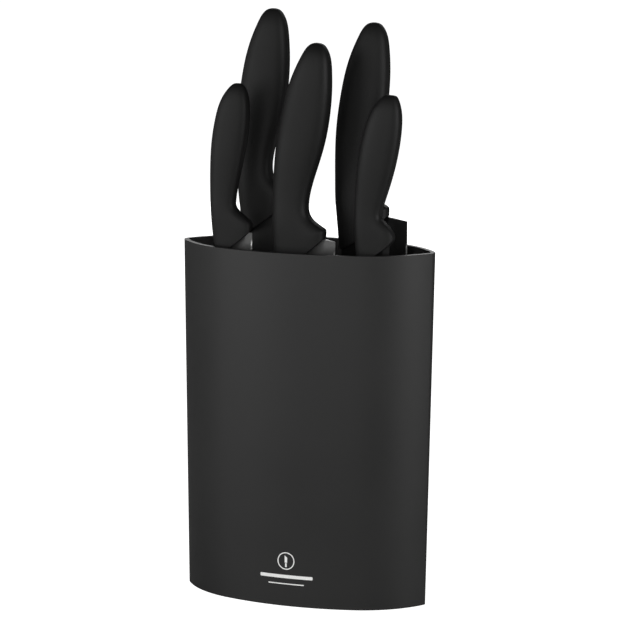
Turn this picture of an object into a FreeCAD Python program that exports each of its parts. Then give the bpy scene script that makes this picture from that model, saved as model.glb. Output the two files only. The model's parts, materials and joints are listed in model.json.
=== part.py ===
import FreeCAD, Part
import math
import os

Vector = FreeCAD.Vector

# A knife block with five knives. All sizes are in millimetres.
# The origin is the middle of the footprint on the worktop. +X runs along the block's
# length, +Y to its back and +Z up. Every cutting edge faces +X.

# block shell
blockLength = 147.6
blockDepth = 68.0
blockHeight = 200.0
faceBow = 20.27             # how far a face's plan arc falls from the middle to a tip
shoulderShare = 0.408       # plan radius of the shoulders as a share of the faces'
innerTipRadius = 0.6        # plan radius inside a tip, at the foot of the shell
draft = 2.9                 # how much the outline shrinks from the rim to the foot
wall = 2.5
rimRound = 0.9
footGap = 0.6               # lower edge of the shell above the worktop

# base
baseRecess = 1.0            # base plate above the lower edge of the shell
baseThickness = 4.0
matThickness = 4.0
fitGap = 0.3                # base plate and mat to the shell
bossRadius = 4.2
bossInset = 3.4             # boss axis from the inner wall, on the long sides
tipBossInset = 8.4          # boss axis from the inner wall, at the tips
ribThickness = 2.4
bossGap = 0.4               # mat to the bosses
drainRadius = 2.5
drainSpacing = 25.0

# feet
footRadius = 5.0
footSeat = 1.0              # depth of the seat under the base plate
footAlong = 31.0
footAcross = 17.0

# screws
screwRadius = 1.45
screwHeadRadius = 2.7
screwHeadHeight = 1.5
screwReach = 10.0           # shank past the plate
screwGap = 0.05
socketRadius = 1.0
socketDepth = 0.9

# slotted insert, which lifts out for cleaning
deckDrop = 16.0             # top of the deck below the rim
deckThickness = 3.0
guideHeight = 95.0          # underside of the lower guide
guideThickness = 3.0
insertGap = 0.4             # deck and guide to the shell
postRadius = 4.0
postAlong = 28.0
slotSideGap = 0.8           # blade to slot, each side
slotEndGap = 1.5            # blade to slot, each end
collarWall = 2.0

# knives
rowSpacing = 28.0           # between the back row and the front row
restGap = 0.2               # under a tip, a handle or the insert where it rests
tipFlat = 0.8
edgeThickness = 0.3
leanInset = 13.0            # a leaning knife turns about this point of its handle,
leanAbove = 6.0             # measured from the handle's back and up from its guard
ovalPower = 0.74            # 1 is an ellipse, smaller is squarer
ovalPoints = 20

# Handles. sections: depth below the top, back, edge side, half thickness. The rounded
# nose runs through three (x, depth) points, from the guard to the back. setback is the
# blade's back from the handle's back, and shoulder is the blade's full width above the
# guard. coreTop and coreBottom bound the rigid core, coreSkin inside the soft grip.
handles = {
    "large": dict(
        sections=[
            (0.0, 18.4, 21.3, 1.3), (0.4, 17.5, 22.5, 2.3), (1.3, 15.8, 24.2, 3.9),
            (4.0, 13.5, 26.2, 5.8), (9.0, 10.9, 28.0, 7.4), (17.0, 7.4, 29.0, 8.4),
            (28.0, 3.9, 29.4, 8.8), (42.0, 1.1, 28.6, 8.8), (58.0, -1.0, 26.0, 8.4),
            (74.0, -1.6, 21.6, 7.8), (84.5, -1.5, 19.3, 7.5), (90.5, -1.45, 19.0, 7.5),
            (94.3, -1.35, 19.8, 7.5), (97.2, -1.25, 21.9, 7.5), (99.3, -1.15, 24.8, 7.5),
            (100.9, -1.05, 27.6, 7.5), (101.9, -1.0, 29.4, 7.5), (103.0, -0.9, 29.9, 7.5),
            (118.0, 0.3, 29.9, 7.1), (132.0, 1.5, 29.9, 6.8)],
        guard=(30.0, 106.4), middle=(19.5, 116.5), nose=(2.6, 127.6),
        setback=2.5, shoulder=1.0, tangInset=6.0, tangWidth=9.0, tangTop=42.0,
        coreTop=9.0, coreBottom=96.0, coreSkin=2.4),
    "small": dict(
        sections=[
            (0.0, 13.6, 16.2, 0.9), (0.3, 12.9, 17.2, 1.7), (1.1, 11.7, 18.2, 3.1),
            (3.0, 9.8, 19.6, 4.5), (7.0, 6.9, 21.1, 5.8), (13.0, 4.1, 21.9, 6.5),
            (21.5, 1.9, 21.8, 6.8), (32.0, 0.2, 20.6, 6.8), (44.0, -0.6, 18.3, 6.5),
            (56.0, -0.7, 15.6, 6.0), (64.5, -0.55, 14.1, 5.8), (68.3, -0.4, 14.2, 5.8),
            (70.6, -0.3, 15.8, 5.8), (72.8, -0.2, 18.6, 5.8), (74.9, -0.05, 21.4, 5.8),
            (76.8, 0.05, 23.2, 5.8), (78.6, 0.15, 23.9, 5.8), (90.0, 1.3, 23.9, 5.4),
            (102.0, 2.4, 23.9, 5.0)],
        guard=(24.0, 80.8), middle=(16.2, 88.3), nose=(3.0, 96.3),
        setback=2.0, shoulder=0.6, tangInset=4.6, tangWidth=6.8, tangTop=32.0,
        coreTop=7.0, coreBottom=72.0, coreSkin=2.0),
    "short": dict(
        sections=[
            (0.0, 13.0, 16.5, 0.9), (0.3, 12.0, 17.9, 1.7), (1.1, 10.8, 18.9, 3.1),
            (3.0, 8.8, 19.9, 4.5), (7.0, 5.8, 21.3, 5.8), (13.0, 3.1, 22.2, 6.5),
            (21.5, 0.9, 22.2, 6.8), (32.0, -0.8, 21.2, 6.8), (44.0, -1.6, 19.1, 6.5),
            (56.0, -1.7, 16.1, 6.0), (63.0, -1.6, 14.3, 5.8), (67.0, -1.45, 14.1, 5.8),
            (69.3, -1.35, 15.9, 5.8), (71.5, -1.25, 18.4, 5.8), (73.6, -1.1, 20.6, 5.8),
            (75.6, -0.95, 21.9, 5.8), (77.3, -0.8, 22.4, 5.8), (90.0, 0.8, 22.5, 5.4),
            (100.0, 1.8, 22.5, 5.0)],
        guard=(22.6, 79.0), middle=(14.8, 86.3), nose=(2.2, 94.4),
        setback=2.0, shoulder=0.6, tangInset=4.4, tangWidth=6.8, tangTop=32.0,
        coreTop=7.0, coreBottom=71.0, coreSkin=2.0),
}

# Each knife: row is 1 at the back and -1 in front. place is the handle's back from the
# middle of the block, as a share of half its length. length runs from heel to tip,
# heelDrop is the heel below the guard, edge and tipAt are measured from the handle's
# back, straight is the straight part of the edge, spineDrop the height above the tip
# where the back starts to curve, and collarRise the height of its slot's collar above
# the deck.
knives = {
    "bread_knife": dict(row=1, place=-0.6153, lean=-0.55, handle="large",
                        length=210.2, heelDrop=3.6, edge=31.0, tipAt=20.0,
                        straight=176.0, spineDrop=62.0, thickness=2.0, grind=5.0, collarRise=2.0),
    "chef_knife": dict(row=1, place=0.1734, lean=0.0, handle="large",
                       length=204.6, heelDrop=3.1, edge=40.5, tipAt=8.0,
                       straight=75.0, spineDrop=70.0, thickness=2.2, grind=7.0, collarRise=2.0),
    "santoku_knife": dict(row=-1, place=-0.1938, lean=2.2, handle="large",
                          length=170.0, heelDrop=2.0, edge=35.5, tipAt=27.0,
                          straight=85.0, spineDrop=48.0, thickness=2.0, grind=6.0, collarRise=2.8),
    "utility_knife": dict(row=-1, place=-0.7019, lean=0.0, handle="small",
                          length=125.0, heelDrop=2.4, edge=23.8, tipAt=9.0,
                          straight=55.0, spineDrop=50.0, thickness=1.6, grind=4.0, collarRise=9.7),
    "paring_knife": dict(row=-1, place=0.4485, lean=3.0, handle="short",
                         length=90.0, heelDrop=2.4, edge=19.5, tipAt=8.0,
                         straight=42.0, spineDrop=40.0, thickness=1.6, grind=3.5, collarRise=9.2),
}
serratedKnife = "bread_knife"
serrationPitch = 6.6
serrationRadius = 5.2
serrationDepth = 1.0

# derived places
halfLength = blockLength / 2
halfDepth = blockDepth / 2
faceRadius = (halfLength ** 2 + faceBow ** 2) / (2 * faceBow)
shoulderRadius = shoulderShare * faceRadius
tipRadius = innerTipRadius + wall + draft
baseBottom = footGap + baseRecess
baseTop = baseBottom + baseThickness
matTop = baseTop + matThickness
deckTop = blockHeight - deckDrop
deckBottom = deckTop - deckThickness
guideTop = guideHeight + guideThickness
rowOffset = rowSpacing / 2
beyond = 5.0                # how far a cutting tool runs past what it cuts
grindPast = 1.0             # the same for the edge's own grinding, all round


def planCentres():
    """Centre of the shoulder arc and the two angles where the plan arcs meet."""
    face = Vector(0, halfDepth - faceRadius, 0)
    tip = Vector(halfLength - tipRadius, 0, 0)
    gap = tip - face
    toShoulder = faceRadius - shoulderRadius
    fromTip = shoulderRadius - tipRadius
    along = (gap.Length ** 2 + toShoulder ** 2 - fromTip ** 2) / (2 * gap.Length)
    aside = math.sqrt(toShoulder ** 2 - along ** 2)
    unit = gap / gap.Length
    shoulder = face + unit * along + Vector(unit.y, -unit.x, 0) * -aside
    faceAngle = math.atan2(shoulder.y - face.y, shoulder.x - face.x)
    tipAngle = math.atan2(tip.y - shoulder.y, tip.x - shoulder.x)
    return face, shoulder, tip, faceAngle, tipAngle


def onArc(centre, radius, angle, signX=1, signY=1):
    x = centre.x + radius * math.cos(angle)
    y = centre.y + radius * math.sin(angle)
    return Vector(signX * x, signY * y, 0)


def planWire(inset, height):
    """The block's lens-shaped outline, moved inwards by inset."""
    face, shoulder, tip, faceAngle, tipAngle = planCentres()
    faceR = faceRadius - inset
    shoulderR = shoulderRadius - inset
    tipR = tipRadius - inset
    middle = (faceAngle + tipAngle) / 2
    edges = []

    def addArc(first, second, third):
        arc = Part.Arc(first, second, third).toShape()
        arc.translate(Vector(0, 0, height))
        edges.append(arc)

    for signX, signY in ((1, 1), (-1, -1)):
        crown = onArc(face, faceR, math.pi / 2, signX, signY)
        left = onArc(face, faceR, faceAngle, -signX, signY)
        right = onArc(face, faceR, faceAngle, signX, signY)
        addArc(left, crown, right)
        bend = onArc(shoulder, shoulderR, middle, signX, signY)
        point = onArc(tip, tipR, tipAngle, signX, signY)
        addArc(right, bend, point)
        nose = onArc(tip, tipR, 0, signX, signY)
        far = onArc(tip, tipR, tipAngle, signX, -signY)
        addArc(point, nose, far)
        bendBack = onArc(shoulder, shoulderR, middle, signX, -signY)
        farRight = onArc(face, faceR, faceAngle, signX, -signY)
        addArc(far, bendBack, farRight)
    return Part.Wire(Part.__sortEdges__(edges))


def insetAt(height):
    return draft * (1 - height / blockHeight)


def taperedBody(inset, bottom, top):
    """A solid that follows the draft of the shell, inset from its outer face."""
    lower = planWire(inset + insetAt(bottom), bottom)
    upper = planWire(inset + insetAt(top), top)
    return Part.makeLoft([lower, upper], True, True)


def plate(gap, bottom, thickness):
    """A straight-sided plate that clears the inner wall by gap."""
    outline = planWire(wall + insetAt(bottom) + gap, bottom)
    return Part.Face(outline).extrude(Vector(0, 0, thickness))


def rod(radius, x, y, bottom, height):
    return Part.makeCylinder(radius, height, Vector(x, y, bottom))


def bossPlaces():
    across = halfDepth - draft - wall - bossInset
    along = halfLength - draft - wall - tipBossInset
    return [(0, across), (0, -across), (along, 0), (-along, 0)]


def boss(x, y, extra, bottom, top):
    """A screw boss with the rib that ties it to the wall, grown by extra."""
    post = rod(bossRadius + extra, x, y, bottom, top - bottom)
    width = ribThickness + 2 * extra
    reach = bossInset + tipBossInset + wall
    if x == 0:
        start = y if y > 0 else y - reach
        rib = Part.makeBox(width, reach, top - bottom, Vector(-width / 2, start, bottom))
    else:
        start = x if x > 0 else x - reach
        rib = Part.makeBox(reach, width, top - bottom, Vector(start, -width / 2, bottom))
    return post.fuse(rib)


def footPlaces():
    return [(signX * footAlong, signY * footAcross) for signY in (-1, 1) for signX in (-1, 1)]


def screw(x, y, headFace, direction):
    """A pan-head screw; its head's outer face is at headFace and it points direction."""
    head = Part.makeCylinder(screwHeadRadius, screwHeadHeight, Vector(x, y, headFace),
                             Vector(0, 0, direction))
    inner = headFace + direction * screwHeadHeight
    shank = Part.makeCylinder(screwRadius, screwReach, Vector(x, y, inner), Vector(0, 0, direction))
    socket = Part.makeCylinder(socketRadius, socketDepth, Vector(x, y, headFace),
                               Vector(0, 0, direction))
    return head.fuse(shank).cut(socket)


def screwHole(x, y, headFace, direction):
    """What a screw needs: a seat for its head and a bore for its shank."""
    start = headFace - direction * beyond
    seat = Part.makeCylinder(screwHeadRadius + fitGap, screwHeadHeight + beyond,
                             Vector(x, y, start), Vector(0, 0, direction))
    inner = headFace + direction * screwHeadHeight
    bore = Part.makeCylinder(screwRadius + screwGap, screwReach + screwGap,
                             Vector(x, y, inner), Vector(0, 0, direction))
    return seat.fuse(bore)


# ---- one knife, first in its own frame: x from the handle's back, z 0 at its top

def gripBody(handle, skin, top, bottom):
    """The handle's outer form, or its core when skin is taken off all round."""
    rows = [row[0] for row in handle["sections"]]
    between = [(low + high) / 2 for low, high in zip(rows, rows[1:])]
    depths = [depth for depth in sorted(rows + between) if top < depth < bottom]
    wires = []
    for depth in [top] + depths + [bottom]:
        back, edge, half = sectionAt(handle["sections"], depth)
        wires.append(ovalWire(back + skin, edge - skin, half - skin, -depth))
    return Part.makeLoft(wires, True, True)


def slopeAt(sections, index):
    low = sections[max(index - 1, 0)]
    high = sections[min(index + 1, len(sections) - 1)]
    return [(b - a) / (high[0] - low[0]) for a, b in zip(low[1:], high[1:])]


def sectionAt(sections, depth):
    """Back, edge side and half thickness at a depth, smooth through the rows."""
    index = max(i for i, row in enumerate(sections[:-1]) if row[0] <= depth)
    low, high = sections[index], sections[index + 1]
    span = high[0] - low[0]
    t = (depth - low[0]) / span
    slopes = zip(slopeAt(sections, index), slopeAt(sections, index + 1))
    values = []
    for a, b, (slopeA, slopeB) in zip(low[1:], high[1:], slopes):
        start = a * (1 + 2 * t) * (1 - t) ** 2 + slopeA * span * t * (1 - t) ** 2
        finish = b * t * t * (3 - 2 * t) + slopeB * span * t * t * (t - 1)
        values.append(start + finish)
    return values


def ovalWire(back, edge, half, height):
    middle = (back + edge) / 2
    wide = (edge - back) / 2
    points = []
    for step in range(ovalPoints):
        angle = 2 * math.pi * step / ovalPoints
        along = math.copysign(abs(math.cos(angle)) ** ovalPower, math.cos(angle))
        across = math.copysign(abs(math.sin(angle)) ** ovalPower, math.sin(angle))
        points.append(Vector(middle + wide * along, half * across, height))
    curve = Part.BSplineCurve()
    curve.interpolate(Points=points, PeriodicFlag=True)
    return Part.Wire([curve.toShape()])


def noseTool(handle):
    """Everything below the rounded nose of the handle."""
    guard, middle, end = [Vector(x, 0, -depth) for x, depth in
                          (handle["guard"], handle["middle"], handle["nose"])]
    low = -handle["sections"][-1][0] - beyond
    side = handle["guard"][0]
    outer = guard + Vector(beyond, 0, beyond)
    corners = [Vector(outer.x, 0, low), Vector(-side, 0, low), Vector(-side, 0, end.z)]
    edges = [Part.LineSegment(corners[2], end).toShape(),
             Part.Arc(end, middle, guard).toShape(),
             Part.LineSegment(guard, outer).toShape(),
             Part.LineSegment(outer, corners[0]).toShape(),
             Part.LineSegment(corners[0], corners[1]).toShape(),
             Part.LineSegment(corners[1], corners[2]).toShape()]
    face = Part.Face(Part.Wire(edges))
    face.translate(Vector(0, -side, 0))
    return face.extrude(Vector(0, 2 * side, 0))


def tangentArc(start, tip):
    """Arc that leaves start straight down and ends at tip: centre, radius, middle."""
    across = abs(start.x - tip.x)
    down = start.z - tip.z
    radius = (across ** 2 + down ** 2) / (2 * across)
    side = 1 if start.x > tip.x else -1
    centre = Vector(start.x - side * radius, 0, start.z)
    sweep = math.asin(min(1.0, down / radius))
    half = sweep / 2
    middle = centre + Vector(side * radius * math.cos(half), 0, -radius * math.sin(half))
    return centre, radius, middle, sweep


def heelOf(knife):
    return -handles[knife["handle"]]["guard"][1] - knife["heelDrop"]


def bladeLines(knife, gap):
    """The blade's outline points, moved outwards by gap."""
    handle = handles[knife["handle"]]
    heel = heelOf(knife)
    tipZ = heel - knife["length"] - gap
    back = handle["setback"] - gap
    edge = knife["edge"] + gap
    edgeStart = Vector(edge, 0, heel - knife["straight"])
    edgeTip = Vector(knife["tipAt"] + tipFlat / 2 + gap, 0, tipZ)
    backTip = Vector(knife["tipAt"] - tipFlat / 2 - gap, 0, tipZ)
    backStart = Vector(back, 0, tipZ + knife["spineDrop"])
    return back, edge, heel, edgeStart, edgeTip, backTip, backStart


def bladeFace(knife, gap, top):
    """The blade's flat outline; top gives the (x, z) points over its heel."""
    back, edge, heel, edgeStart, edgeTip, backTip, backStart = bladeLines(knife, gap)
    edgeMiddle = tangentArc(edgeStart, edgeTip)[2]
    backMiddle = tangentArc(backStart, backTip)[2]
    corners = [Vector(x, 0, z) for x, z in top]
    path = [backStart] + corners + [edgeStart]
    edges = [Part.LineSegment(a, b).toShape() for a, b in zip(path, path[1:])]
    edges.append(Part.Arc(edgeStart, edgeMiddle, edgeTip).toShape())
    edges.append(Part.LineSegment(edgeTip, backTip).toShape())
    edges.append(Part.Arc(backTip, backMiddle, backStart).toShape())
    return Part.Face(Part.Wire(edges))


def thicken(face, thickness):
    face.translate(Vector(0, -thickness / 2, 0))
    return face.extrude(Vector(0, thickness, 0))


def grindTools(knife):
    """What the grinding takes off both sides of the cutting edge."""
    edge, heel, edgeStart, edgeTip = bladeLines(knife, 0)[1:5]
    centre, radius, _, sweep = tangentArc(edgeStart, edgeTip)
    flank = knife["thickness"] / 2
    slope = (flank - edgeThickness / 2) / knife["grind"]
    inner, outer = -knife["grind"], grindPast
    tools = []
    for side in (1, -1):
        corners = [(inner, flank), (outer, flank - slope * (outer - inner)),
                   (outer, flank + grindPast), (inner, flank + grindPast)]
        loop = [Vector(edge + x, side * y, edgeStart.z) for x, y in corners]
        section = Part.Face(Part.makePolygon(loop + loop[:1]))
        height = heel - edgeStart.z + beyond
        tools.append(section.extrude(Vector(0, 0, height)))
        degrees = math.degrees(sweep + grindPast / radius)
        tools.append(section.revolve(centre, Vector(0, 1, 0), degrees))
    return tools


def serrations(knife):
    edge, heel, edgeStart = bladeLines(knife, 0)[1:4]
    count = int(knife["straight"] // serrationPitch) - 1
    tools = []
    for step in range(count):
        height = heel - (step + 1.5) * serrationPitch
        centre = Vector(edge + serrationRadius - serrationDepth, -beyond, height)
        tools.append(Part.makeCylinder(serrationRadius, 2 * beyond, centre, Vector(0, 1, 0)))
    return tools


def bladeSolid(name, knife):
    handle = handles[knife["handle"]]
    back, edge, heel = bladeLines(knife, 0)[:3]
    shoulder = -handle["guard"][1] + handle["shoulder"]
    tangLeft = handle["tangInset"]
    tangRight = tangLeft + handle["tangWidth"]
    top = [(back, shoulder), (tangLeft, shoulder), (tangLeft, -handle["tangTop"]),
           (tangRight, -handle["tangTop"]), (tangRight, shoulder), (edge, heel)]
    blade = thicken(bladeFace(knife, 0, top), knife["thickness"])
    blade = blade.cut(grindTools(knife))
    if name == serratedKnife:
        blade = blade.cut(serrations(knife))
    return blade


def placeKnife(knife, shape):
    """Turn the knife by its lean and stand it in its slot."""
    x, y, height = pivotOf(knife)
    pivot = localPivot(knife)
    shape.translate(Vector(x, y, height) - Vector(pivot[0], 0, pivot[1]))
    shape.rotate(Vector(x, y, height), Vector(0, 1, 0), knife["lean"])
    return shape


def localPivot(knife):
    return leanInset, leanAbove - handles[knife["handle"]]["guard"][1]


def dropBelowPivot(knife, x, z):
    pivotX, pivotZ = localPivot(knife)
    lean = math.radians(knife["lean"])
    return (x - pivotX) * math.sin(lean) - (z - pivotZ) * math.cos(lean)


def pivotOf(knife):
    """A knife drops until its tip meets the mat or its handle meets the collar."""
    noseX, noseDepth = handles[knife["handle"]]["nose"]
    tipZ = heelOf(knife) - knife["length"]
    byTip = matTop + dropBelowPivot(knife, knife["tipAt"], tipZ)
    collarTop = deckTop + knife["collarRise"]
    byHandle = collarTop + dropBelowPivot(knife, noseX, -noseDepth)
    height = max(byTip, byHandle) + restGap
    return knife["place"] * halfLength + leanInset, knife["row"] * rowOffset, height


def slotTool(knife, extra, sideExtra):
    """The space that a blade needs on its way out, from its tip up."""
    gap = slotEndGap + extra
    back, edge, heel = bladeLines(knife, gap)[:3]
    high = heel + blockHeight
    face = bladeFace(knife, gap, [(back, high), (edge, high)])
    return placeKnife(knife, thicken(face, knife["thickness"] + 2 * (slotSideGap + sideExtra)))


def collarFor(knife):
    """The raised collar round a slot, trimmed to the deck's own outline."""
    band = plate(insertGap, deckTop, knife["collarRise"])
    return slotTool(knife, collarWall, collarWall).common(band)


# ---- the pieces

def makeShell():
    outer = taperedBody(0, footGap, blockHeight)
    rim = [edge for edge in outer.Edges
           if all(abs(v.Z - blockHeight) < 0.01 for v in edge.Vertexes)]
    rounded = outer.makeFillet(min(rimRound, 0.45 * wall), rim)
    cavity = taperedBody(wall, footGap, blockHeight)
    shell = rounded.cut(cavity)
    for x, y in bossPlaces():
        post = boss(x, y, 0, baseTop, guideHeight - restGap).common(outer)
        shell = shell.fuse(post)
    for x, y in bossPlaces():
        shell = shell.cut(screwHole(x, y, baseBottom, 1))
    return shell.removeSplitter()


def makeBasePlate():
    base = plate(fitGap, baseBottom, baseThickness)
    tools = [screwHole(x, y, baseBottom, 1) for x, y in bossPlaces()]
    tools += [rod(footRadius + fitGap, x, y, baseBottom - beyond, beyond + footSeat)
              for x, y in footPlaces()]
    tools += drains()
    return base.cut(tools)


def drains():
    return [rod(drainRadius, step * drainSpacing, 0, 0, matTop + beyond) for step in (-1, 0, 1)]


def makeMat():
    mat = plate(fitGap, baseTop, matThickness)
    tools = [boss(x, y, bossGap, baseTop - beyond, matTop + beyond) for x, y in bossPlaces()]
    return mat.cut(tools + drains())


def makeFoot(x, y):
    foot = rod(footRadius, x, y, 0, baseBottom + footSeat)
    lower = [edge for edge in foot.Edges if all(abs(v.Z) < 0.01 for v in edge.Vertexes)]
    return foot.makeFillet(0.5 * footGap, lower)


def makeDeck():
    deck = plate(insertGap, deckBottom, deckThickness)
    for knife in knives.values():
        deck = deck.fuse(collarFor(knife))
    tools = [slotTool(knife, 0, 0) for knife in knives.values()]
    tools += [screwHole(side * postAlong, 0, deckTop, -1) for side in (-1, 1)]
    return deck.cut(tools).removeSplitter()


def makeGuide():
    guide = plate(insertGap, guideHeight, guideThickness)
    tools = [slotTool(knife, 0, 0) for knife in knives.values()]
    tools += [screwHole(side * postAlong, 0, guideHeight, 1) for side in (-1, 1)]
    return guide.cut(tools)


def makePost(side):
    x = side * postAlong
    post = rod(postRadius, x, 0, guideTop, deckBottom - guideTop)
    return post.cut([screwHole(x, 0, deckTop, -1), screwHole(x, 0, guideHeight, 1)])


def makeKnife(name, knife):
    handle = handles[knife["handle"]]
    blade = bladeSolid(name, knife)
    core = gripBody(handle, handle["coreSkin"], handle["coreTop"], handle["coreBottom"])
    grip = gripBody(handle, 0, 0.0, handle["sections"][-1][0])
    grip = grip.cut([noseTool(handle), core, blade])
    core = core.cut(blade)
    return {name + "_blade": placeKnife(knife, blade),
            name + "_handle_core": placeKnife(knife, core),
            name + "_grip": placeKnife(knife, grip)}


def main():
    pieces = {
        "outer_shell": makeShell(),
        "base_plate": makeBasePlate(),
        "tip_mat": makeMat(),
        "base_screws": Part.makeCompound([screw(x, y, baseBottom, 1) for x, y in bossPlaces()]),
        "slot_deck": makeDeck(),
        "lower_guide": makeGuide(),
        "spacer_post_left": makePost(-1),
        "spacer_post_right": makePost(1),
        "insert_screws": Part.makeCompound(
            [screw(side * postAlong, 0, deckTop, -1) for side in (-1, 1)]
            + [screw(side * postAlong, 0, guideHeight, 1) for side in (-1, 1)]),
    }
    for number, (x, y) in enumerate(footPlaces(), 1):
        pieces["foot_pad_%d" % number] = makeFoot(x, y)
    for name, knife in knives.items():
        pieces.update(makeKnife(name, knife))

    os.makedirs("parts", exist_ok=True)
    for name, shape in pieces.items():
        box = shape.BoundBox
        print("%-24s solids %d valid %s volume %.1f mm3  z %.2f to %.2f" % (
            name, len(shape.Solids), shape.isValid(), shape.Volume, box.ZMin, box.ZMax))
        shape.exportStep("parts/%s.step" % name)


main()
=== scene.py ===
import bpy
import json
import math
from mathutils import Matrix, Vector


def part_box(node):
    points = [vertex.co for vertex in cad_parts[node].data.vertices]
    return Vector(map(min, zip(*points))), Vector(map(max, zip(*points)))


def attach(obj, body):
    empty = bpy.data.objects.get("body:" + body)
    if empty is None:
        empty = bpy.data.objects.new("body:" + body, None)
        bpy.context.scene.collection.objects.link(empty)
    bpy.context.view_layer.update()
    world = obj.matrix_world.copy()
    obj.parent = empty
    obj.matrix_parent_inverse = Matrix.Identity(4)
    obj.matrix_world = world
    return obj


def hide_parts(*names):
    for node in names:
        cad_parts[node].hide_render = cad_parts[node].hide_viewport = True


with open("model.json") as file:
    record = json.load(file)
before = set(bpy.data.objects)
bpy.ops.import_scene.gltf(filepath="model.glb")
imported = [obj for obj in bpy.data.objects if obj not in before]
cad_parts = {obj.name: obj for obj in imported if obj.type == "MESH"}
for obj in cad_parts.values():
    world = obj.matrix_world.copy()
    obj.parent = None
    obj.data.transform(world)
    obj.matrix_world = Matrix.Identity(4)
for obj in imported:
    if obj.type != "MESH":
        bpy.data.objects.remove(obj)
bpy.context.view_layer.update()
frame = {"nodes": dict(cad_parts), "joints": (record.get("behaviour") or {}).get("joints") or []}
nodes = frame["nodes"]
mm = 0.001
print("frame loaded,", len(nodes), "nodes")


# small helpers for working the way one does in the viewport

def startFresh():
    if bpy.context.object and bpy.context.object.mode != "OBJECT":
        bpy.ops.object.mode_set(mode="OBJECT")
    bpy.ops.object.select_all(action="DESELECT")


def makeActive(piece):
    startFresh()
    piece.select_set(True)
    bpy.context.view_layer.objects.active = piece


def newPiece(name):
    piece = bpy.context.object
    piece.name = name
    piece.data.name = name
    return piece


def editMode(selecting="VERT"):
    bpy.ops.object.mode_set(mode="EDIT")
    bpy.ops.mesh.select_mode(type=selecting)


def editAll(selecting="VERT"):
    editMode(selecting)
    bpy.ops.mesh.select_all(action="SELECT")


def objectMode():
    bpy.ops.object.mode_set(mode="OBJECT")


def pick(piece, verts=None, edges=None, faces=None):
    # select by place: each test gets the element
    objectMode()
    mesh = piece.data
    for group in (mesh.vertices, mesh.edges, mesh.polygons):
        for item in group:
            item.select = False
    for group, test in ((mesh.vertices, verts), (mesh.edges, edges), (mesh.polygons, faces)):
        if test:
            for item in group:
                item.select = bool(test(item))
    bpy.ops.object.mode_set(mode="EDIT")


def applyModifier(piece, kind, **values):
    makeActive(piece)
    modifier = piece.modifiers.new(kind.lower(), kind)
    for key, value in values.items():
        setattr(modifier, key, value)
    bpy.ops.object.modifier_apply(modifier=modifier.name)


def bakePlace(piece):
    makeActive(piece)
    bpy.ops.object.transform_apply(location=True, rotation=True, scale=True)


def tidyMesh(piece, angle=35):
    makeActive(piece)
    editAll()
    bpy.ops.mesh.remove_doubles(threshold=0.01 * mm)
    bpy.ops.mesh.normals_make_consistent(inside=False)
    objectMode()
    bpy.ops.object.shade_smooth_by_angle(angle=math.radians(angle))


def meshBox(piece):
    xs, ys, zs = zip(*(vert.co for vert in piece.data.vertices))
    return Vector((min(xs), min(ys), min(zs))), Vector((max(xs), max(ys), max(zs)))


def wear(piece, material):
    piece.data.materials.clear()
    piece.data.materials.append(material)


def joinAll(pieces, name):
    startFresh()
    for piece in pieces:
        piece.select_set(True)
    bpy.context.view_layer.objects.active = pieces[0]
    bpy.ops.object.join()
    return newPiece(name)


# camera and light

cameraSet = {
    "azimuth": 19.46, "elevation": 9.85, "roll": 0.41, "distance": 1.597, "lens": 164.8,
    "aimHeight": 0.1, "aimAside": 0.0013, "aimUp": 0.0625,
}


def makeCamera(values):
    azimuth = math.radians(values["azimuth"])
    turn = Matrix.Rotation(azimuth, 4, "Z")
    turn = turn @ Matrix.Rotation(math.radians(90 - values["elevation"]), 4, "X")
    right, up, back = (turn.col[axis].to_3d() for axis in range(3))
    aim = Vector((0, 0, values["aimHeight"])) + right * values["aimAside"] + up * values["aimUp"]
    startFresh()
    bpy.ops.object.camera_add()
    camera = bpy.context.object
    camera.name = "mainCamera"
    roll = Matrix.Rotation(math.radians(values["roll"]), 4, "Z")
    camera.matrix_world = Matrix.Translation(aim + back * values["distance"]) @ turn @ roll
    camera.data.lens = values["lens"]
    camera.data.sensor_width = 36
    camera.data.clip_end = 20
    bpy.context.scene.camera = camera


lightSet = [
    {"name": "leftSoftbox", "place": (-0.95, -1.1, 0.28), "size": 0.9, "power": 15.5},
    {"name": "sideSoftbox", "place": (-1.45, -0.1, 0.3), "size": 0.9, "power": 2.2},
    {"name": "frontSoftbox", "place": (0.2, -1.6, 0.35), "size": 1.0, "power": 11.5},
    {"name": "rightSoftbox", "place": (1.25, -0.3, 0.3), "size": 0.8, "power": 13.5},
    {"name": "backSoftbox", "place": (-0.3, 1.5, 0.5), "size": 1.0, "power": 9},
]
lightAim = Vector((0, 0, 0.17))
roomSet = {
    "floorSize": 14.0, "floorColor": (0.42, 0.42, 0.42, 1), "floorRoughness": 0.9,
    "floorLift": 1.05,                      # extra white that only the camera sees
    "worldSeen": 1.0, "worldLight": 0.08,
}


def makeLights(lights):
    for values in lights:
        startFresh()
        bpy.ops.object.light_add(type="AREA", location=values["place"])
        light = bpy.context.object
        light.name = values["name"]
        light.data.size = values["size"]
        light.data.energy = values["power"]
        toward = lightAim - Vector(values["place"])
        light.rotation_euler = toward.to_track_quat("-Z", "Y").to_euler()


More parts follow.
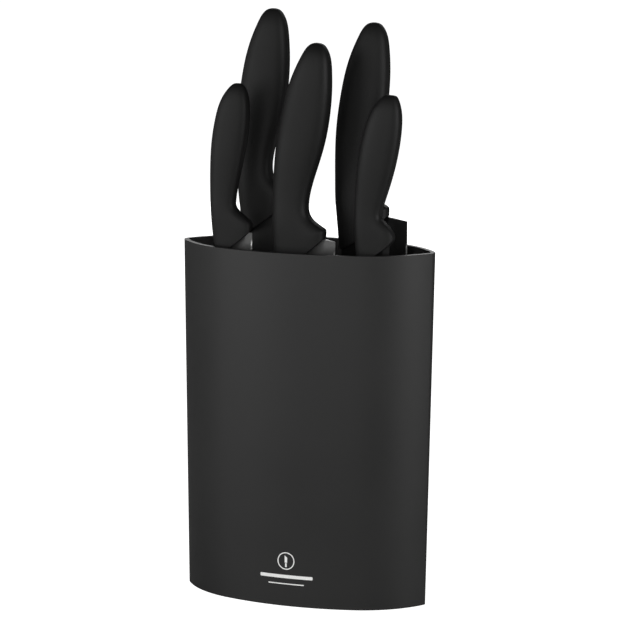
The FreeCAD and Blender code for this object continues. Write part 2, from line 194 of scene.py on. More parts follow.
def makeRoom(values):
    world = bpy.data.worlds.new("studio")
    bpy.context.scene.world = world
    world.use_nodes = True
    tree = world.node_tree
    background = tree.nodes["Background"]
    background.inputs["Color"].default_value = (1, 1, 1, 1)
    eye = tree.nodes.new("ShaderNodeLightPath")
    strength = tree.nodes.new("ShaderNodeMapRange")
    strength.inputs["To Min"].default_value = values["worldLight"]
    strength.inputs["To Max"].default_value = values["worldSeen"]
    tree.links.new(eye.outputs["Is Camera Ray"], strength.inputs["Value"])
    tree.links.new(strength.outputs["Result"], background.inputs["Strength"])
    startFresh()
    bpy.ops.mesh.primitive_plane_add(size=values["floorSize"])
    floor = newPiece("floor")
    material = bpy.data.materials.new("paleFloor")
    material.use_nodes = True
    tree = material.node_tree
    shader = tree.nodes["Principled BSDF"]
    shader.inputs["Base Color"].default_value = values["floorColor"]
    shader.inputs["Roughness"].default_value = values["floorRoughness"]
    shader.inputs["Specular IOR Level"].default_value = 0.0
    shader.inputs["Emission Color"].default_value = (1, 1, 1, 1)
    eye = tree.nodes.new("ShaderNodeLightPath")
    lift = tree.nodes.new("ShaderNodeMath")
    lift.operation = "MULTIPLY"
    lift.inputs[1].default_value = values["floorLift"]
    tree.links.new(eye.outputs["Is Camera Ray"], lift.inputs[0])
    tree.links.new(lift.outputs[0], shader.inputs["Emission Strength"])
    wear(floor, material)
    bpy.context.scene.view_settings.view_transform = "Standard"


makeCamera(cameraSet)
makeLights(lightSet)
makeRoom(roomSet)
print("camera, light and floor ready")


# materials: shared effects are groups, shaders stay in each material

def addNode(tree, kind, inputs=None, **settings):
    node = tree.nodes.new(kind)
    for key, value in settings.items():
        setattr(node, key, value)
    for key, value in (inputs or {}).items():
        if isinstance(value, bpy.types.NodeSocket):
            tree.links.new(value, node.inputs[key])
        else:
            node.inputs[key].default_value = value
    return node


def newGroup(name, inputs, outputs):
    group = bpy.data.node_groups.new(name, "ShaderNodeTree")
    for label, kind in inputs:
        group.interface.new_socket(name=label, in_out="INPUT", socket_type=kind)
    for label, kind in outputs:
        group.interface.new_socket(name=label, in_out="OUTPUT", socket_type=kind)
    entry = group.nodes.new("NodeGroupInput")
    leave = group.nodes.new("NodeGroupOutput")
    return group, entry, leave


def math2(tree, operation, first, second=None, third=None, clamp=False):
    node = addNode(tree, "ShaderNodeMath", operation=operation, use_clamp=clamp)
    for slot, value in enumerate((first, second, third)):
        if value is None:
            continue
        if isinstance(value, bpy.types.NodeSocket):
            tree.links.new(value, node.inputs[slot])
        else:
            node.inputs[slot].default_value = value
    return node.outputs[0]


grainSet = {
    "pebbleShare": 0.6, "pebbleSoftness": 0.6, "fuzzShare": 0.4, "fuzzDetail": 4.0, "wideDetail": 3.0,
}


def makeGrainGroup(values):
    # moulded grain: a fine pebble height and a slow, wide tone
    group, entry, leave = newGroup(
        "mouldedGrain",
        [("Vector", "NodeSocketVector"), ("Grain Size", "NodeSocketFloat"),
         ("Patch Size", "NodeSocketFloat")],
        [("Height", "NodeSocketFloat"), ("Tone", "NodeSocketFloat")])
    fineScale = math2(group, "DIVIDE", 1.0, entry.outputs["Grain Size"])
    wideScale = math2(group, "DIVIDE", 1.0, entry.outputs["Patch Size"])
    pebble = addNode(group, "ShaderNodeTexVoronoi", feature="SMOOTH_F1",
                     inputs={"Vector": entry.outputs["Vector"], "Scale": fineScale,
                             "Smoothness": values["pebbleSoftness"]})
    fuzz = addNode(group, "ShaderNodeTexNoise",
                   inputs={"Vector": entry.outputs["Vector"], "Scale": fineScale,
                           "Detail": values["fuzzDetail"]})
    wide = addNode(group, "ShaderNodeTexNoise",
                   inputs={"Vector": entry.outputs["Vector"], "Scale": wideScale,
                           "Detail": values["wideDetail"]})
    height = math2(group, "ADD", math2(group, "MULTIPLY", pebble.outputs["Distance"], values["pebbleShare"]),
                   math2(group, "MULTIPLY", fuzz.outputs["Fac"], values["fuzzShare"]))
    group.links.new(height, leave.inputs["Height"])
    group.links.new(wide.outputs["Fac"], leave.inputs["Tone"])
    return group


edgeLineSet = {"clearAt": 1.15, "fullAt": 0.85, "startLength": 3.0 * mm}


def makeEdgeLineGroup(values):
    # bare steel along a cutting edge: straight above the arc's centre, round below it
    group, entry, leave = newGroup(
        "edgeLine",
        [("Vector", "NodeSocketVector"), ("Radius", "NodeSocketFloat"), ("Width", "NodeSocketFloat"),
         ("Top", "NodeSocketFloat")],
        [("Mask", "NodeSocketFloat")])
    split = addNode(group, "ShaderNodeSeparateXYZ", inputs={0: entry.outputs["Vector"]})
    below = math2(group, "MINIMUM", split.outputs["Z"], 0.0)
    across = math2(group, "MULTIPLY", split.outputs["X"], split.outputs["X"])
    along = math2(group, "MULTIPLY", below, below)
    reach = math2(group, "SQRT", math2(group, "ADD", across, along))
    depth = math2(group, "SUBTRACT", entry.outputs["Radius"], reach)
    ratio = math2(group, "DIVIDE", depth, entry.outputs["Width"])
    mask = addNode(group, "ShaderNodeMapRange", interpolation_type="SMOOTHSTEP",
                   inputs={"Value": ratio, "From Min": values["clearAt"], "From Max": values["fullAt"]})
    above = math2(group, "SUBTRACT", entry.outputs["Top"], split.outputs["Z"])
    start = addNode(group, "ShaderNodeMapRange", interpolation_type="SMOOTHSTEP",
                    inputs={"Value": above, "From Min": 0.0, "From Max": values["startLength"]})
    both = math2(group, "MULTIPLY", mask.outputs["Result"], start.outputs["Result"])
    group.links.new(both, leave.inputs["Mask"])
    return group


grainGroup = makeGrainGroup(grainSet)
edgeLineGroup = makeEdgeLineGroup(edgeLineSet)


def emptyMaterial(name):
    material = bpy.data.materials.new(name)
    material.use_nodes = True
    tree = material.node_tree
    shader = tree.nodes["Principled BSDF"]
    place = tree.nodes.new("ShaderNodeTexCoord").outputs["Object"]
    return material, tree, shader, place


def blendColor(tree, factor, dark, light):
    mix = addNode(tree, "ShaderNodeMix", data_type="RGBA")
    tree.links.new(factor, mix.inputs["Factor"])
    for socket, value in ((mix.inputs[6], dark), (mix.inputs[7], light)):
        if isinstance(value, bpy.types.NodeSocket):
            tree.links.new(value, socket)
        else:
            socket.default_value = value
    return mix.outputs[2]


def mapValue(tree, value, low, high, fromLow=0.3, fromHigh=0.7):
    node = addNode(tree, "ShaderNodeMapRange", inputs={
        "Value": value, "From Min": fromLow, "From Max": fromHigh, "To Min": low, "To Max": high})
    return node.outputs["Result"]


def grey(value, warmth=0.98):
    return (value, value, value * warmth, 1)


def mouldedPlastic(name, values):
    material, tree, shader, place = emptyMaterial(name)
    grain = addNode(tree, "ShaderNodeGroup", node_tree=grainGroup, inputs={
        "Vector": place, "Grain Size": values["grainSize"], "Patch Size": values["patchSize"]})
    tone = grain.outputs["Tone"]
    color = blendColor(tree, mapValue(tree, tone, 0, 1), grey(values["dark"]), grey(values["light"]))
    tree.links.new(color, shader.inputs["Base Color"])
    rough = mapValue(tree, tone, values["roughness"] - values["roughSpread"],
                     values["roughness"] + values["roughSpread"])
    tree.links.new(rough, shader.inputs["Roughness"])
    bump = addNode(tree, "ShaderNodeBump", inputs={
        "Strength": values["bump"], "Distance": values["bumpDepth"], "Height": grain.outputs["Height"]})
    tree.links.new(bump.outputs["Normal"], shader.inputs["Normal"])
    shader.inputs["Specular IOR Level"].default_value = values["specular"]
    shader.inputs["Sheen Weight"].default_value = values["sheen"]
    return material


plasticSet = {
    "softTouchShell": {
        "dark": 0.0075, "light": 0.0100, "grainSize": 0.00035, "patchSize": 0.06, "roughness": 0.52,
        "roughSpread": 0.03, "bump": 0.22, "bumpDepth": 0.00005, "specular": 0.30, "sheen": 0.0},
    "softGrip": {
        "dark": 0.0046, "light": 0.0064, "grainSize": 0.0003, "patchSize": 0.03, "roughness": 0.56,
        "roughSpread": 0.04, "bump": 0.28, "bumpDepth": 0.00005, "specular": 0.165, "sheen": 0.0},
    "blackInsert": {
        "dark": 0.0040, "light": 0.0060, "grainSize": 0.0005, "patchSize": 0.05, "roughness": 0.6,
        "roughSpread": 0.06, "bump": 0.4, "bumpDepth": 0.0001, "specular": 0.25, "sheen": 0.0},
    "basePlastic": {
        "dark": 0.0100, "light": 0.0140, "grainSize": 0.0007, "patchSize": 0.04, "roughness": 0.62,
        "roughSpread": 0.06, "bump": 0.5, "bumpDepth": 0.0002, "specular": 0.3, "sheen": 0.0},
    "matRubber": {
        "dark": 0.0100, "light": 0.0160, "grainSize": 0.0010, "patchSize": 0.03, "roughness": 0.8,
        "roughSpread": 0.08, "bump": 0.6, "bumpDepth": 0.0003, "specular": 0.3, "sheen": 0.1},
    "footRubber": {
        "dark": 0.0160, "light": 0.0240, "grainSize": 0.0006, "patchSize": 0.006, "roughness": 0.75,
        "roughSpread": 0.08, "bump": 0.5, "bumpDepth": 0.0001, "specular": 0.3, "sheen": 0.1},
    "handleCore": {
        "dark": 0.0150, "light": 0.0200, "grainSize": 0.0008, "patchSize": 0.02, "roughness": 0.45,
        "roughSpread": 0.05, "bump": 0.3, "bumpDepth": 0.0001, "specular": 0.4, "sheen": 0.0},
}
plastics = {name: mouldedPlastic(name, values) for name, values in plasticSet.items()}


zincSet = {"dark": (0.42, 0.42, 0.43, 1), "light": (0.60, 0.60, 0.61, 1), "roughness": (0.25, 0.42),
           "brushScale": 2200.0, "stainScale": 300.0}


def screwSteel(values):
    material, tree, shader, place = emptyMaterial("zincScrew")
    brushed = addNode(tree, "ShaderNodeTexNoise",
                      inputs={"Vector": place, "Scale": values["brushScale"], "Detail": 5.0})
    stain = addNode(tree, "ShaderNodeTexNoise", inputs={"Vector": place, "Scale": values["stainScale"]})
    color = blendColor(tree, mapValue(tree, stain.outputs["Fac"], 0, 1), values["dark"], values["light"])
    tree.links.new(color, shader.inputs["Base Color"])
    tree.links.new(mapValue(tree, brushed.outputs["Fac"], *values["roughness"]), shader.inputs["Roughness"])
    shader.inputs["Metallic"].default_value = 1.0
    return material


# the bare steel of every blade and how its coat varies
steelSet = {
    "dark": 0.50, "light": 0.72, "roughness": 0.28, "coatSpread": 0.15, "roughSpread": 0.05,
    "lines": (90.0, 90.0, 1600.0), "lineDetail": 4.0, "cloudScale": 60.0, "cloudDetail": 3.0,
    "bump": 0.15, "bumpDepth": 0.00003,
}


def bladeFinish(name, values, lean, place0):
    # black satin coating over brushed steel, ground bare along the edge; the coat's tone from each knife's
    # values is painted light and shade
    low = (values["edge"] - values["tipAt"]) * mm
    fall = (values["length"] - values["straight"]) * mm
    radius = (low ** 2 + fall ** 2) / (2 * low)
    centre = Vector((values["edge"] * mm - radius, 0, -(values["heel"] + values["straight"]) * mm))
    centre = Matrix.Rotation(lean, 3, "Y") @ centre + place0
    material, tree, shader, place = emptyMaterial(name + "Finish")
    local = addNode(tree, "ShaderNodeMapping", vector_type="TEXTURE", inputs={
        "Vector": place, "Location": centre, "Rotation": (0, lean, 0)})
    line = addNode(tree, "ShaderNodeGroup", node_tree=edgeLineGroup, inputs={
        "Vector": local.outputs["Vector"], "Radius": radius, "Width": values["bare"] * mm,
        "Top": (values["straight"] - values["bareFrom"]) * mm})
    stretch = addNode(tree, "ShaderNodeMapping", inputs={
        "Vector": local.outputs["Vector"], "Scale": steelSet["lines"]})
    lines = addNode(tree, "ShaderNodeTexNoise", inputs={
        "Vector": stretch.outputs["Vector"], "Scale": 1.0, "Detail": steelSet["lineDetail"]})
    cloud = addNode(tree, "ShaderNodeTexNoise", inputs={
        "Vector": place, "Scale": steelSet["cloudScale"], "Detail": steelSet["cloudDetail"]})
    spread = steelSet["coatSpread"]
    # the coat colour: a random cloudy spread around each knife's tone, and that tone is painted light and
    # shade
    coatAndPaintedLight = blendColor(tree, mapValue(tree, cloud.outputs["Fac"], 0, 1),
                      grey(values["coatAndPaintedLight"] * (1 - spread)), grey(values["coatAndPaintedLight"] * (1 + spread)))
    steel = blendColor(tree, mapValue(tree, lines.outputs["Fac"], 0, 1),
                       grey(steelSet["dark"]), grey(steelSet["light"]))
    mask = line.outputs["Mask"]
    tree.links.new(blendColor(tree, mask, coatAndPaintedLight, steel), shader.inputs["Base Color"])
    tree.links.new(mask, shader.inputs["Metallic"])
    coatRough = mapValue(tree, lines.outputs["Fac"], values["roughness"] - steelSet["roughSpread"],
                         values["roughness"] + steelSet["roughSpread"])
    rough = addNode(tree, "ShaderNodeMix", inputs={0: mask, 2: coatRough, 3: steelSet["roughness"]})
    tree.links.new(rough.outputs[0], shader.inputs["Roughness"])
    bump = addNode(tree, "ShaderNodeBump", inputs={
        "Strength": steelSet["bump"], "Distance": steelSet["bumpDepth"], "Height": lines.outputs["Fac"]})
    tree.links.new(bump.outputs["Normal"], shader.inputs["Normal"])
    shader.inputs["Specular IOR Level"].default_value = values["specular"]
    return material


printSet = {"dark": (0.66, 0.66, 0.65, 1), "light": (0.80, 0.80, 0.79, 1), "roughness": (0.42, 0.58),
            "speckScale": 2600.0}


def printFinish(values):
    material, tree, shader, place = emptyMaterial("whitePrint")
    speck = addNode(tree, "ShaderNodeTexNoise",
                    inputs={"Vector": place, "Scale": values["speckScale"], "Detail": 3.0})
    color = blendColor(tree, mapValue(tree, speck.outputs["Fac"], 0, 1), values["dark"], values["light"])
    tree.links.new(color, shader.inputs["Base Color"])
    tree.links.new(mapValue(tree, speck.outputs["Fac"], *values["roughness"]), shader.inputs["Roughness"])
    return material


print("materials ready")


# the block's shell, drawn as arcs from the middle of a face to the tip

shellSet = {
    "halfLength": 73.8 * mm, "halfDepth": 34.0 * mm, "wall": 2.5 * mm, "draft": 2.9 * mm,
    "faceBow": 20.27 * mm, "shoulderShare": 0.408, "tipRadius": 6.0 * mm,
    "stepsFace": 26, "stepsShoulder": 14, "stepsTip": 8,
    "rimRound": 0.9 * mm, "rimSegments": 4, "footRound": 0.5 * mm, "footSegments": 2,
}


def arcsOf(values):
    # centre, sweep and steps of each arc
    half, bow = values["halfLength"], values["faceBow"]
    faceRadius = (half ** 2 + bow ** 2) / (2 * bow)
    shoulderRadius = values["shoulderShare"] * faceRadius
    face = Vector((0, values["halfDepth"] - faceRadius))
    tip = Vector((half - values["tipRadius"], 0))
    gap = tip - face
    toShoulder = faceRadius - shoulderRadius
    fromTip = shoulderRadius - values["tipRadius"]
    along = (gap.length ** 2 + toShoulder ** 2 - fromTip ** 2) / (2 * gap.length)
    aside = math.sqrt(toShoulder ** 2 - along ** 2)
    unit = gap.normalized()
    shoulder = face + unit * along + Vector((-unit.y, unit.x)) * aside
    up, first, second = Vector((0, 1)), shoulder - face, tip - shoulder
    return [(face, up.angle(first), values["stepsFace"]),
            (shoulder, first.angle(second), values["stepsShoulder"]),
            (tip, second.angle(Vector((1, 0))), values["stepsTip"])]


def drawOutline(values, inset, height):
    startFresh()
    bpy.ops.mesh.primitive_plane_add(size=mm)
    outline = newPiece("outline")
    editAll()
    bpy.ops.mesh.merge(type="CENTER")
    bpy.ops.transform.translate(value=(0, values["halfDepth"] - inset, height))
    for centre, sweep, steps in arcsOf(values):
        bpy.ops.mesh.spin(steps=steps, angle=sweep, center=(centre.x, centre.y, height), axis=(0, 0, 1))
    objectMode()
    applyModifier(outline, "MIRROR", use_axis=(True, True, False), merge_threshold=0.02 * mm)
    return outline


def makeShell(values):
    low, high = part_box("outer_shell")
    foot = drawOutline(values, values["draft"] * (1 - low.z / high.z), low.z)
    rim = drawOutline(values, 0, high.z)
    shell = joinAll([foot, rim], "blockShell")
    editAll("EDGE")
    bpy.ops.mesh.bridge_edge_loops()
    bpy.ops.mesh.select_all(action="SELECT")
    bpy.ops.mesh.normals_make_consistent(inside=False)
    objectMode()
    applyModifier(shell, "SOLIDIFY", thickness=values["wall"], offset=-1, use_even_offset=True)
    roundRim(shell, high.z, values["rimRound"], values["rimSegments"])
    roundRim(shell, low.z, values["footRound"], values["footSegments"])
    tidyMesh(shell)
    return shell


def roundRim(piece, height, width, segments):
    makeActive(piece)
    editMode("EDGE")
    faces = [face for face in piece.data.polygons if abs(face.center.z - height) < 0.01 * mm]
    flat = {key for face in faces for key in face.edge_keys}
    steep = {key for face in piece.data.polygons if abs(face.normal.z) < 0.5 for key in face.edge_keys}
    pick(piece, edges=lambda edge: edge.key in flat and edge.key in steep)
    bpy.ops.mesh.bevel(offset=width, segments=segments, affect="EDGES")
    objectMode()


# the screw bosses inside the shell, with the ribs that tie them to the wall

bossSet = {"radius": 4.2 * mm, "inset": 3.4 * mm, "tipInset": 8.4 * mm, "rib": 2.4 * mm,
           "round": 0.4 * mm, "corners": 40, "rest": 0.2 * mm}


def makeBosses(values, shellValues):
    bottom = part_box("base_plate")[1].z
    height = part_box("lower_guide")[0].z - values["rest"] - bottom
    middle = bottom + height / 2
    skin = shellValues["draft"] + shellValues["wall"]
    across = shellValues["halfDepth"] - skin - values["inset"]
    along = shellValues["halfLength"] - skin - values["tipInset"]
    pieces = []
    for x, y in ((0, across), (0, -across), (along, 0), (-along, 0)):
        startFresh()
        bpy.ops.mesh.primitive_cylinder_add(vertices=values["corners"], radius=values["radius"],
                                            depth=height, location=(x, y, middle))
        post = newPiece("boss")
        bakePlace(post)
        editMode("FACE")
        pick(post, faces=lambda face: face.normal.z > 0.9)
        bpy.ops.mesh.region_to_loop()
        bpy.ops.mesh.bevel(offset=values["round"], segments=2, affect="EDGES")
        objectMode()
        pieces.append(post)
        pieces.append(makeRib(values, x, y, middle, height))
    bosses = joinAll(pieces, "screwBosses")
    tidyMesh(bosses)
    return bosses


def makeRib(values, x, y, middle, height):
    reach = values["inset"] if x == 0 else values["tipInset"]
    out = Vector((x, y)).normalized() * reach / 2
    size = (values["rib"], reach, height) if x == 0 else (reach, values["rib"], height)
    startFresh()
    bpy.ops.mesh.primitive_cube_add(size=1, location=(x + out.x, y + out.y, middle), scale=size)
    rib = newPiece("rib")
    bakePlace(rib)
    editMode("FACE")
    pick(rib, faces=lambda face: face.normal.z > 0.9)
    bpy.ops.mesh.region_to_loop()
    bpy.ops.mesh.bevel(offset=values["round"], segments=2, affect="EDGES")
    objectMode()
    return rib


shell = makeShell(shellSet)
wear(shell, plastics["softTouchShell"])
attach(shell, "block")
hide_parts("outer_shell")
bosses = makeBosses(bossSet, shellSet)
wear(bosses, plastics["blackInsert"])
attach(bosses, "block")
print("shell ready")


# the plain printed mark low on the front: a ring with an upright knife over two rules

markSet = {
    "x": -0.65 * mm, "ringZ": 26.6 * mm, "ringRadius": 5.0 * mm, "ringWidth": 0.55 * mm, "corners": 64,
    "rules": [(17.6 * mm, 31.0 * mm, 1.9 * mm), (13.4 * mm, 21.0 * mm, 0.6 * mm)],
    "ruleRound": 0.3, "halfWidth": 16.0 * mm, "strips": 32, "gap": 0.02 * mm, "ink": 0.04 * mm,
}
smallKnifeSet = {
    "bladeUp": 1.1 * mm, "bladeSize": (1.5 * mm, 4.2 * mm, 1), "tipDrop": 1.3 * mm,
    "handleDown": 2.4 * mm, "handleSize": (1.0 * mm, 2.2 * mm, 1),
}


def flatPlate(name, x, z, size):
    # an upright rectangle; its first two sizes are width and height
    startFresh()
    bpy.ops.mesh.primitive_plane_add(size=1, rotation=(math.radians(90), 0, 0), location=(x, 0, z))
    piece = newPiece(name)
    piece.scale = size
    bakePlace(piece)
    return piece


def makeRing(values, x, z):
    startFresh()
    bpy.ops.mesh.primitive_circle_add(vertices=values["corners"], radius=values["ringRadius"],
                                      fill_type="NGON", rotation=(math.radians(90), 0, 0),
                                      location=(x, 0, z))
    ring = newPiece("ring")
    bakePlace(ring)
    editAll("FACE")
    bpy.ops.mesh.inset(thickness=values["ringWidth"])
    bpy.ops.mesh.delete(type="FACE")
    objectMode()
    return ring


def makeSmallKnife(values, x, z):
    # blade above, handle below; the blade's far corner is drawn down to make the tip
    blade = flatPlate("smallBlade", x, z + values["bladeUp"], values["bladeSize"])
    editMode()
    pick(blade, verts=lambda vert: vert.co.z > z and vert.co.x > x)
    bpy.ops.transform.translate(value=(0, 0, -values["tipDrop"]))
    objectMode()
    handle = flatPlate("smallHandle", x, z - values["handleDown"], values["handleSize"])
    return joinAll([blade, handle], "smallKnife")


def makeRule(values, x, z, length, thick):
    rule = flatPlate("rule", x, z, (length, thick, 1))
    editAll("EDGE")
    bpy.ops.mesh.subdivide(number_cuts=1)
    pick(rule, verts=lambda vert: abs(vert.co.x - x) > 0.4 * length)
    bpy.ops.mesh.bevel(offset=values["ruleRound"] * thick, segments=3, affect="VERTICES")
    objectMode()
    return rule


def makeMark(values):
    x, z = values["x"], values["ringZ"]
    shapes = [makeRing(values, x, z), makeSmallKnife(smallKnifeSet, x, z)]
    shapes += [makeRule(values, x, *rule) for rule in values["rules"]]
    mark = joinAll(shapes, "printedMark")
    # cut into narrow strips, so that the print follows the curved face
    editAll()
    for strip in range(1, values["strips"]):
        cut = x + values["halfWidth"] * (2 * strip / values["strips"] - 1)
        bpy.ops.mesh.select_all(action="SELECT")
        bpy.ops.mesh.bisect(plane_co=(cut, 0, 0), plane_no=(1, 0, 0))
    bpy.ops.mesh.select_all(action="SELECT")
    bpy.ops.transform.translate(value=(0, -2 * shellSet["halfDepth"], 0))
    objectMode()
    applyModifier(mark, "SHRINKWRAP", target=shell, wrap_method="PROJECT", use_project_y=True,
                  use_positive_direction=True, use_negative_direction=False, offset=values["gap"])
    makeActive(mark)
    editAll()
    bpy.ops.mesh.normals_make_consistent(inside=False)
    objectMode()
    if sum(face.normal.y for face in mark.data.polygons) > 0:
        editAll()
        bpy.ops.mesh.flip_normals()
        objectMode()
    applyModifier(mark, "SOLIDIFY", thickness=values["ink"], offset=1)
    return mark


mark = makeMark(markSet)
wear(mark, printFinish(printSet))
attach(mark, "block")
print("mark ready")


# handles: each ring has its back point, its edge point (x and depth) and half thickness,
# in millimetres from the handle's back and top; bow is how far the last rings belly out

handleSet = {
    "large": {
        "rings": [
            (19.2, 0.0, 20.9, 0.0, 0.8), (17.6, 0.35, 22.4, 0.35, 2.2), (15.8, 1.3, 24.2, 1.3, 3.9),
            (13.5, 4.0, 26.2, 4.0, 5.8), (10.9, 9.0, 28.0, 9.0, 7.4), (7.4, 17.0, 29.0, 17.0, 8.4),
            (3.9, 28.0, 29.4, 28.0, 8.8), (1.1, 42.0, 28.6, 42.0, 8.8), (-1.0, 58.0, 26.0, 58.0, 8.4),
            (-1.6, 74.0, 21.6, 74.0, 7.8), (-1.5, 86.0, 19.3, 84.5, 7.5), (-1.4, 93.5, 19.0, 90.5, 7.5),
            (-1.2, 99.0, 19.8, 94.3, 7.5), (-0.85, 104.0, 21.9, 97.2, 7.5), (-0.45, 109.0, 24.8, 99.3, 7.4),
            (-0.1, 113.0, 27.6, 100.9, 7.3), (0.2, 116.5, 29.4, 101.9, 7.2), (0.5, 120.5, 29.9, 103.0, 7.1),
            (0.9, 124.5, 29.9, 104.8, 7.0), (1.1, 127.0, 29.9, 106.1, 6.9), (1.15, 127.6, 29.9, 106.4, 6.9),
        ],
        "bow": 2.0},
    "small": {
        "rings": [
            (14.0, 0.0, 15.9, 0.0, 0.6), (12.9, 0.3, 17.2, 0.3, 1.7), (11.7, 1.1, 18.2, 1.1, 3.1),
            (9.8, 3.0, 19.6, 3.0, 4.5), (6.9, 7.0, 21.1, 7.0, 5.8), (4.1, 13.0, 21.9, 13.0, 6.5),
            (1.9, 21.5, 21.8, 21.5, 6.8), (0.2, 32.0, 20.6, 32.0, 6.8), (-0.6, 44.0, 18.3, 44.0, 6.5),
            (-0.7, 56.5, 15.6, 56.0, 6.0), (-0.5, 66.0, 14.1, 64.5, 5.8), (-0.3, 71.0, 14.2, 68.3, 5.8),
            (-0.05, 75.0, 15.8, 70.6, 5.8), (0.2, 79.0, 18.6, 72.8, 5.8), (0.55, 83.0, 21.4, 74.9, 5.7),
            (1.05, 87.5, 23.2, 76.8, 5.6), (1.5, 92.0, 23.9, 78.6, 5.5), (1.85, 95.7, 23.9, 80.5, 5.4),
            (1.9, 96.3, 23.9, 80.8, 5.4),
        ],
        "bow": 1.8},
    "short": {
        "rings": [
            (13.5, 0.0, 16.1, 0.0, 0.6), (12.0, 0.3, 17.9, 0.3, 1.7), (10.8, 1.1, 18.9, 1.1, 3.1),
            (8.8, 3.0, 19.9, 3.0, 4.5), (5.8, 7.0, 21.3, 7.0, 5.8), (3.1, 13.0, 22.2, 13.0, 6.5),
            (0.9, 21.5, 22.2, 21.5, 6.8), (-0.8, 32.0, 21.2, 32.0, 6.8), (-1.6, 44.0, 19.1, 44.0, 6.5),
            (-1.7, 56.5, 16.1, 56.0, 6.0), (-1.5, 64.5, 14.3, 63.0, 5.8), (-1.3, 70.0, 14.1, 67.0, 5.8),
            (-1.0, 74.5, 15.9, 69.3, 5.8), (-0.65, 78.5, 18.4, 71.5, 5.8), (-0.15, 82.5, 20.6, 73.6, 5.7),
            (0.4, 86.5, 21.9, 75.6, 5.6), (0.9, 90.5, 22.4, 77.2, 5.5), (1.25, 93.7, 22.3, 78.7, 5.4),
            (1.3, 94.4, 22.1, 79.1, 5.4),
        ],
        "bow": 1.8},
}
ringCorners = 24
ringSquare = 0.74               # 1 is an ellipse, smaller is squarer
noseRings = 4                   # how many of the last rings belly out
noseShares = (0.94, 0.65)       # and the rings drawn across the end
smoothing = 2


def pushOut(rings, rounds=3):
    # smoothing draws the form in between rings, so the rings start a little further out
    cage = [Vector(ring) for ring in rings]
    for _ in range(rounds):
        drawn = [(a + 4 * b + c) / 6 for a, b, c in zip(cage, cage[1:], cage[2:])]
        middle = [now + Vector(want) - got for now, want, got in zip(cage[1:-1], rings[1:-1], drawn)]
        cage = [cage[0]] + middle + [cage[-1]]
    return cage


def layRing(verts, ring, bow, share=1):
    # share draws the ring in towards its middle, along the same belly
    back, edge = Vector((ring[0], 0, -ring[1])) * mm, Vector((ring[2], 0, -ring[3])) * mm
    middle, along = (back + edge) / 2, (edge - back) / 2
    half = ring[4] * mm
    down = Vector((along.z, 0, -along.x)).normalized()
    for number, vert in enumerate(verts):
        angle = 2 * math.pi * number / len(verts)
        x = share * math.copysign(abs(math.cos(angle)) ** ringSquare, math.cos(angle))
        y = share * math.copysign(abs(math.sin(angle)) ** ringSquare, math.sin(angle))
        vert.co = middle + along * x + down * bow * mm * (1 - x * x)
        vert.co.y += half * y


def nextRing(grip):
    # pulls a new ring out of the open end, which is selected from the last one
    editMode("FACE")
    if len(grip.data.polygons) == 1:
        bpy.ops.mesh.select_all(action="SELECT")
    bpy.ops.mesh.extrude_region_move(TRANSFORM_OT_translate={"value": (0, 0, -mm)})
    objectMode()
    return [vert for vert in grip.data.vertices if vert.select]


def growGrip(knife, values):
    rings = pushOut(values["rings"])
    startFresh()
    bpy.ops.mesh.primitive_circle_add(vertices=ringCorners, fill_type="NGON")
    grip = newPiece(knife + "_softGrip")
    layRing(grip.data.vertices[:], rings[0], 0)
    for number, ring in enumerate(rings[1:], 1):
        fromEnd = len(rings) - 1 - number
        bow = values["bow"] * max(0, 1 - fromEnd / noseRings)
        layRing(nextRing(grip), ring, bow)
    for share in noseShares:
        layRing(nextRing(grip), rings[-1], values["bow"], share)
    editAll()
    bpy.ops.mesh.normals_make_consistent(inside=False)
    objectMode()
    applyModifier(grip, "SUBSURF", levels=smoothing, render_levels=smoothing)
    return grip


def leanOf(knife):
    joint = next(j for j in frame["joints"] if j["child"] == knife)
    return math.atan2(joint["axis"][0], joint["axis"][2])


def finishGrip(knife, grip):
    # lean it, stand it in its CAD solid's place and return where its back and top went
    low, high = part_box(knife + "_grip")
    makeActive(grip)
    grip.rotation_euler = (0, leanOf(knife), 0)
    bakePlace(grip)
    gripLow, gripHigh = meshBox(grip)
    place = Vector((low.x - gripLow.x, (low.y + high.y) / 2, high.z - gripHigh.z))
    grip.location = place
    bakePlace(grip)
    tidyMesh(grip, 60)
    wear(grip, plastics["softGrip"])
    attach(grip, knife)
    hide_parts(knife + "_grip")
    return place
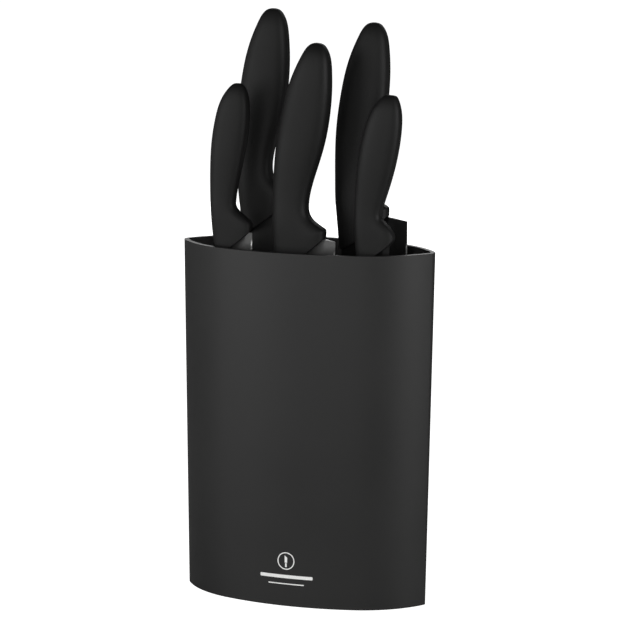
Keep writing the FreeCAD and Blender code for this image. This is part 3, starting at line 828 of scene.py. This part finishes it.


# knives: blade sizes in millimetres from the handle's back and top

# every blade has the same black coating, but its tone and specular level differ per knife as painted light:
# lighter and glossier on the santoku and utility blades for a painted sheen, darker on the chef, paring and
# bread blades for painted shade
bladeSet = {
    "bread_knife": {"handle": "large", "heel": 110.0, "length": 210.2, "edge": 31.0, "tipAt": 20.4,
                    "straight": 176.0, "bare": 1.3, "bareFrom": 4.0, "coatAndPaintedLight": 0.010, "roughness": 0.42,
                    "specular": 0.25},
    "chef_knife": {"handle": "large", "heel": 109.5, "length": 204.6, "edge": 40.5, "tipAt": 8.4,
                   "straight": 75.0, "bare": 0.5, "bareFrom": 12.0, "coatAndPaintedLight": 0.004, "roughness": 0.5,
                   "specular": 0.08},
    "santoku_knife": {"handle": "large", "heel": 108.4, "length": 170.0, "edge": 35.5, "tipAt": 27.4,
                      "straight": 85.0, "bare": 0.6, "bareFrom": 5.0, "coatAndPaintedLight": 0.035, "roughness": 0.34,
                      "specular": 0.7},
    "utility_knife": {"handle": "small", "heel": 83.2, "length": 125.0, "edge": 23.8, "tipAt": 9.4,
                      "straight": 55.0, "bare": 0.6, "bareFrom": 3.0, "coatAndPaintedLight": 0.035, "roughness": 0.34,
                      "specular": 0.7},
    "paring_knife": {"handle": "short", "heel": 81.4, "length": 90.0, "edge": 19.5, "tipAt": 8.4,
                     "straight": 42.0, "bare": 0.4, "bareFrom": 12.0, "coatAndPaintedLight": 0.006, "roughness": 0.45,
                     "specular": 0.12},
}

for knife, values in bladeSet.items():
    grip = growGrip(knife, handleSet[values["handle"]])
    place = finishGrip(knife, grip)
    blade = nodes[knife + "_blade"]
    wear(blade, bladeFinish(knife + "_blade", values, leanOf(knife), place))
    wear(nodes[knife + "_handle_core"], plastics["handleCore"])
print("knives ready")


# moulded pieces inside and below: copies of their CAD solids with eased edges

easeSet = {
    "slot_deck": {
        "name": "slottedDeck", "body": "insert", "slot": "insert_plastic", "finish": "blackInsert"},
    "lower_guide": {
        "name": "guidePlate", "body": "insert", "slot": "insert_plastic", "finish": "blackInsert"},
    "base_plate": {
        "name": "bottomPlate", "body": "block", "slot": "base_plastic", "finish": "basePlastic"},
}
easeWidth = 0.35 * mm
mergeWithin = 0.005 * mm


def easedCopy(nodeName, values):
    startFresh()
    piece = bpy.data.objects.new(values["name"], nodes[nodeName].data.copy())
    bpy.context.scene.collection.objects.link(piece)
    makeActive(piece)
    piece.data.name = values["name"]
    editAll()
    bpy.ops.mesh.remove_doubles(threshold=mergeWithin)
    bpy.ops.mesh.dissolve_limited(angle_limit=math.radians(0.5))
    objectMode()
    applyModifier(piece, "BEVEL", width=easeWidth, segments=2, limit_method="ANGLE",
                  angle_limit=math.radians(50), use_clamp_overlap=True)
    makeActive(piece)
    bpy.ops.object.shade_smooth_by_angle(angle=math.radians(35))
    wear(piece, plastics[values["finish"]])
    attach(piece, values["body"])
    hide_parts(nodeName)


for nodeName, values in easeSet.items():
    easedCopy(nodeName, values)

for nodeName in ("spacer_post_left", "spacer_post_right"):
    wear(nodes[nodeName], plastics["blackInsert"])
wear(nodes["tip_mat"], plastics["matRubber"])
for name, node in nodes.items():
    if name.startswith("foot_pad"):
        wear(node, plastics["footRubber"])
zinc = screwSteel(zincSet)
wear(nodes["base_screws"], zinc)
wear(nodes["insert_screws"], zinc)
print("insert and base ready")
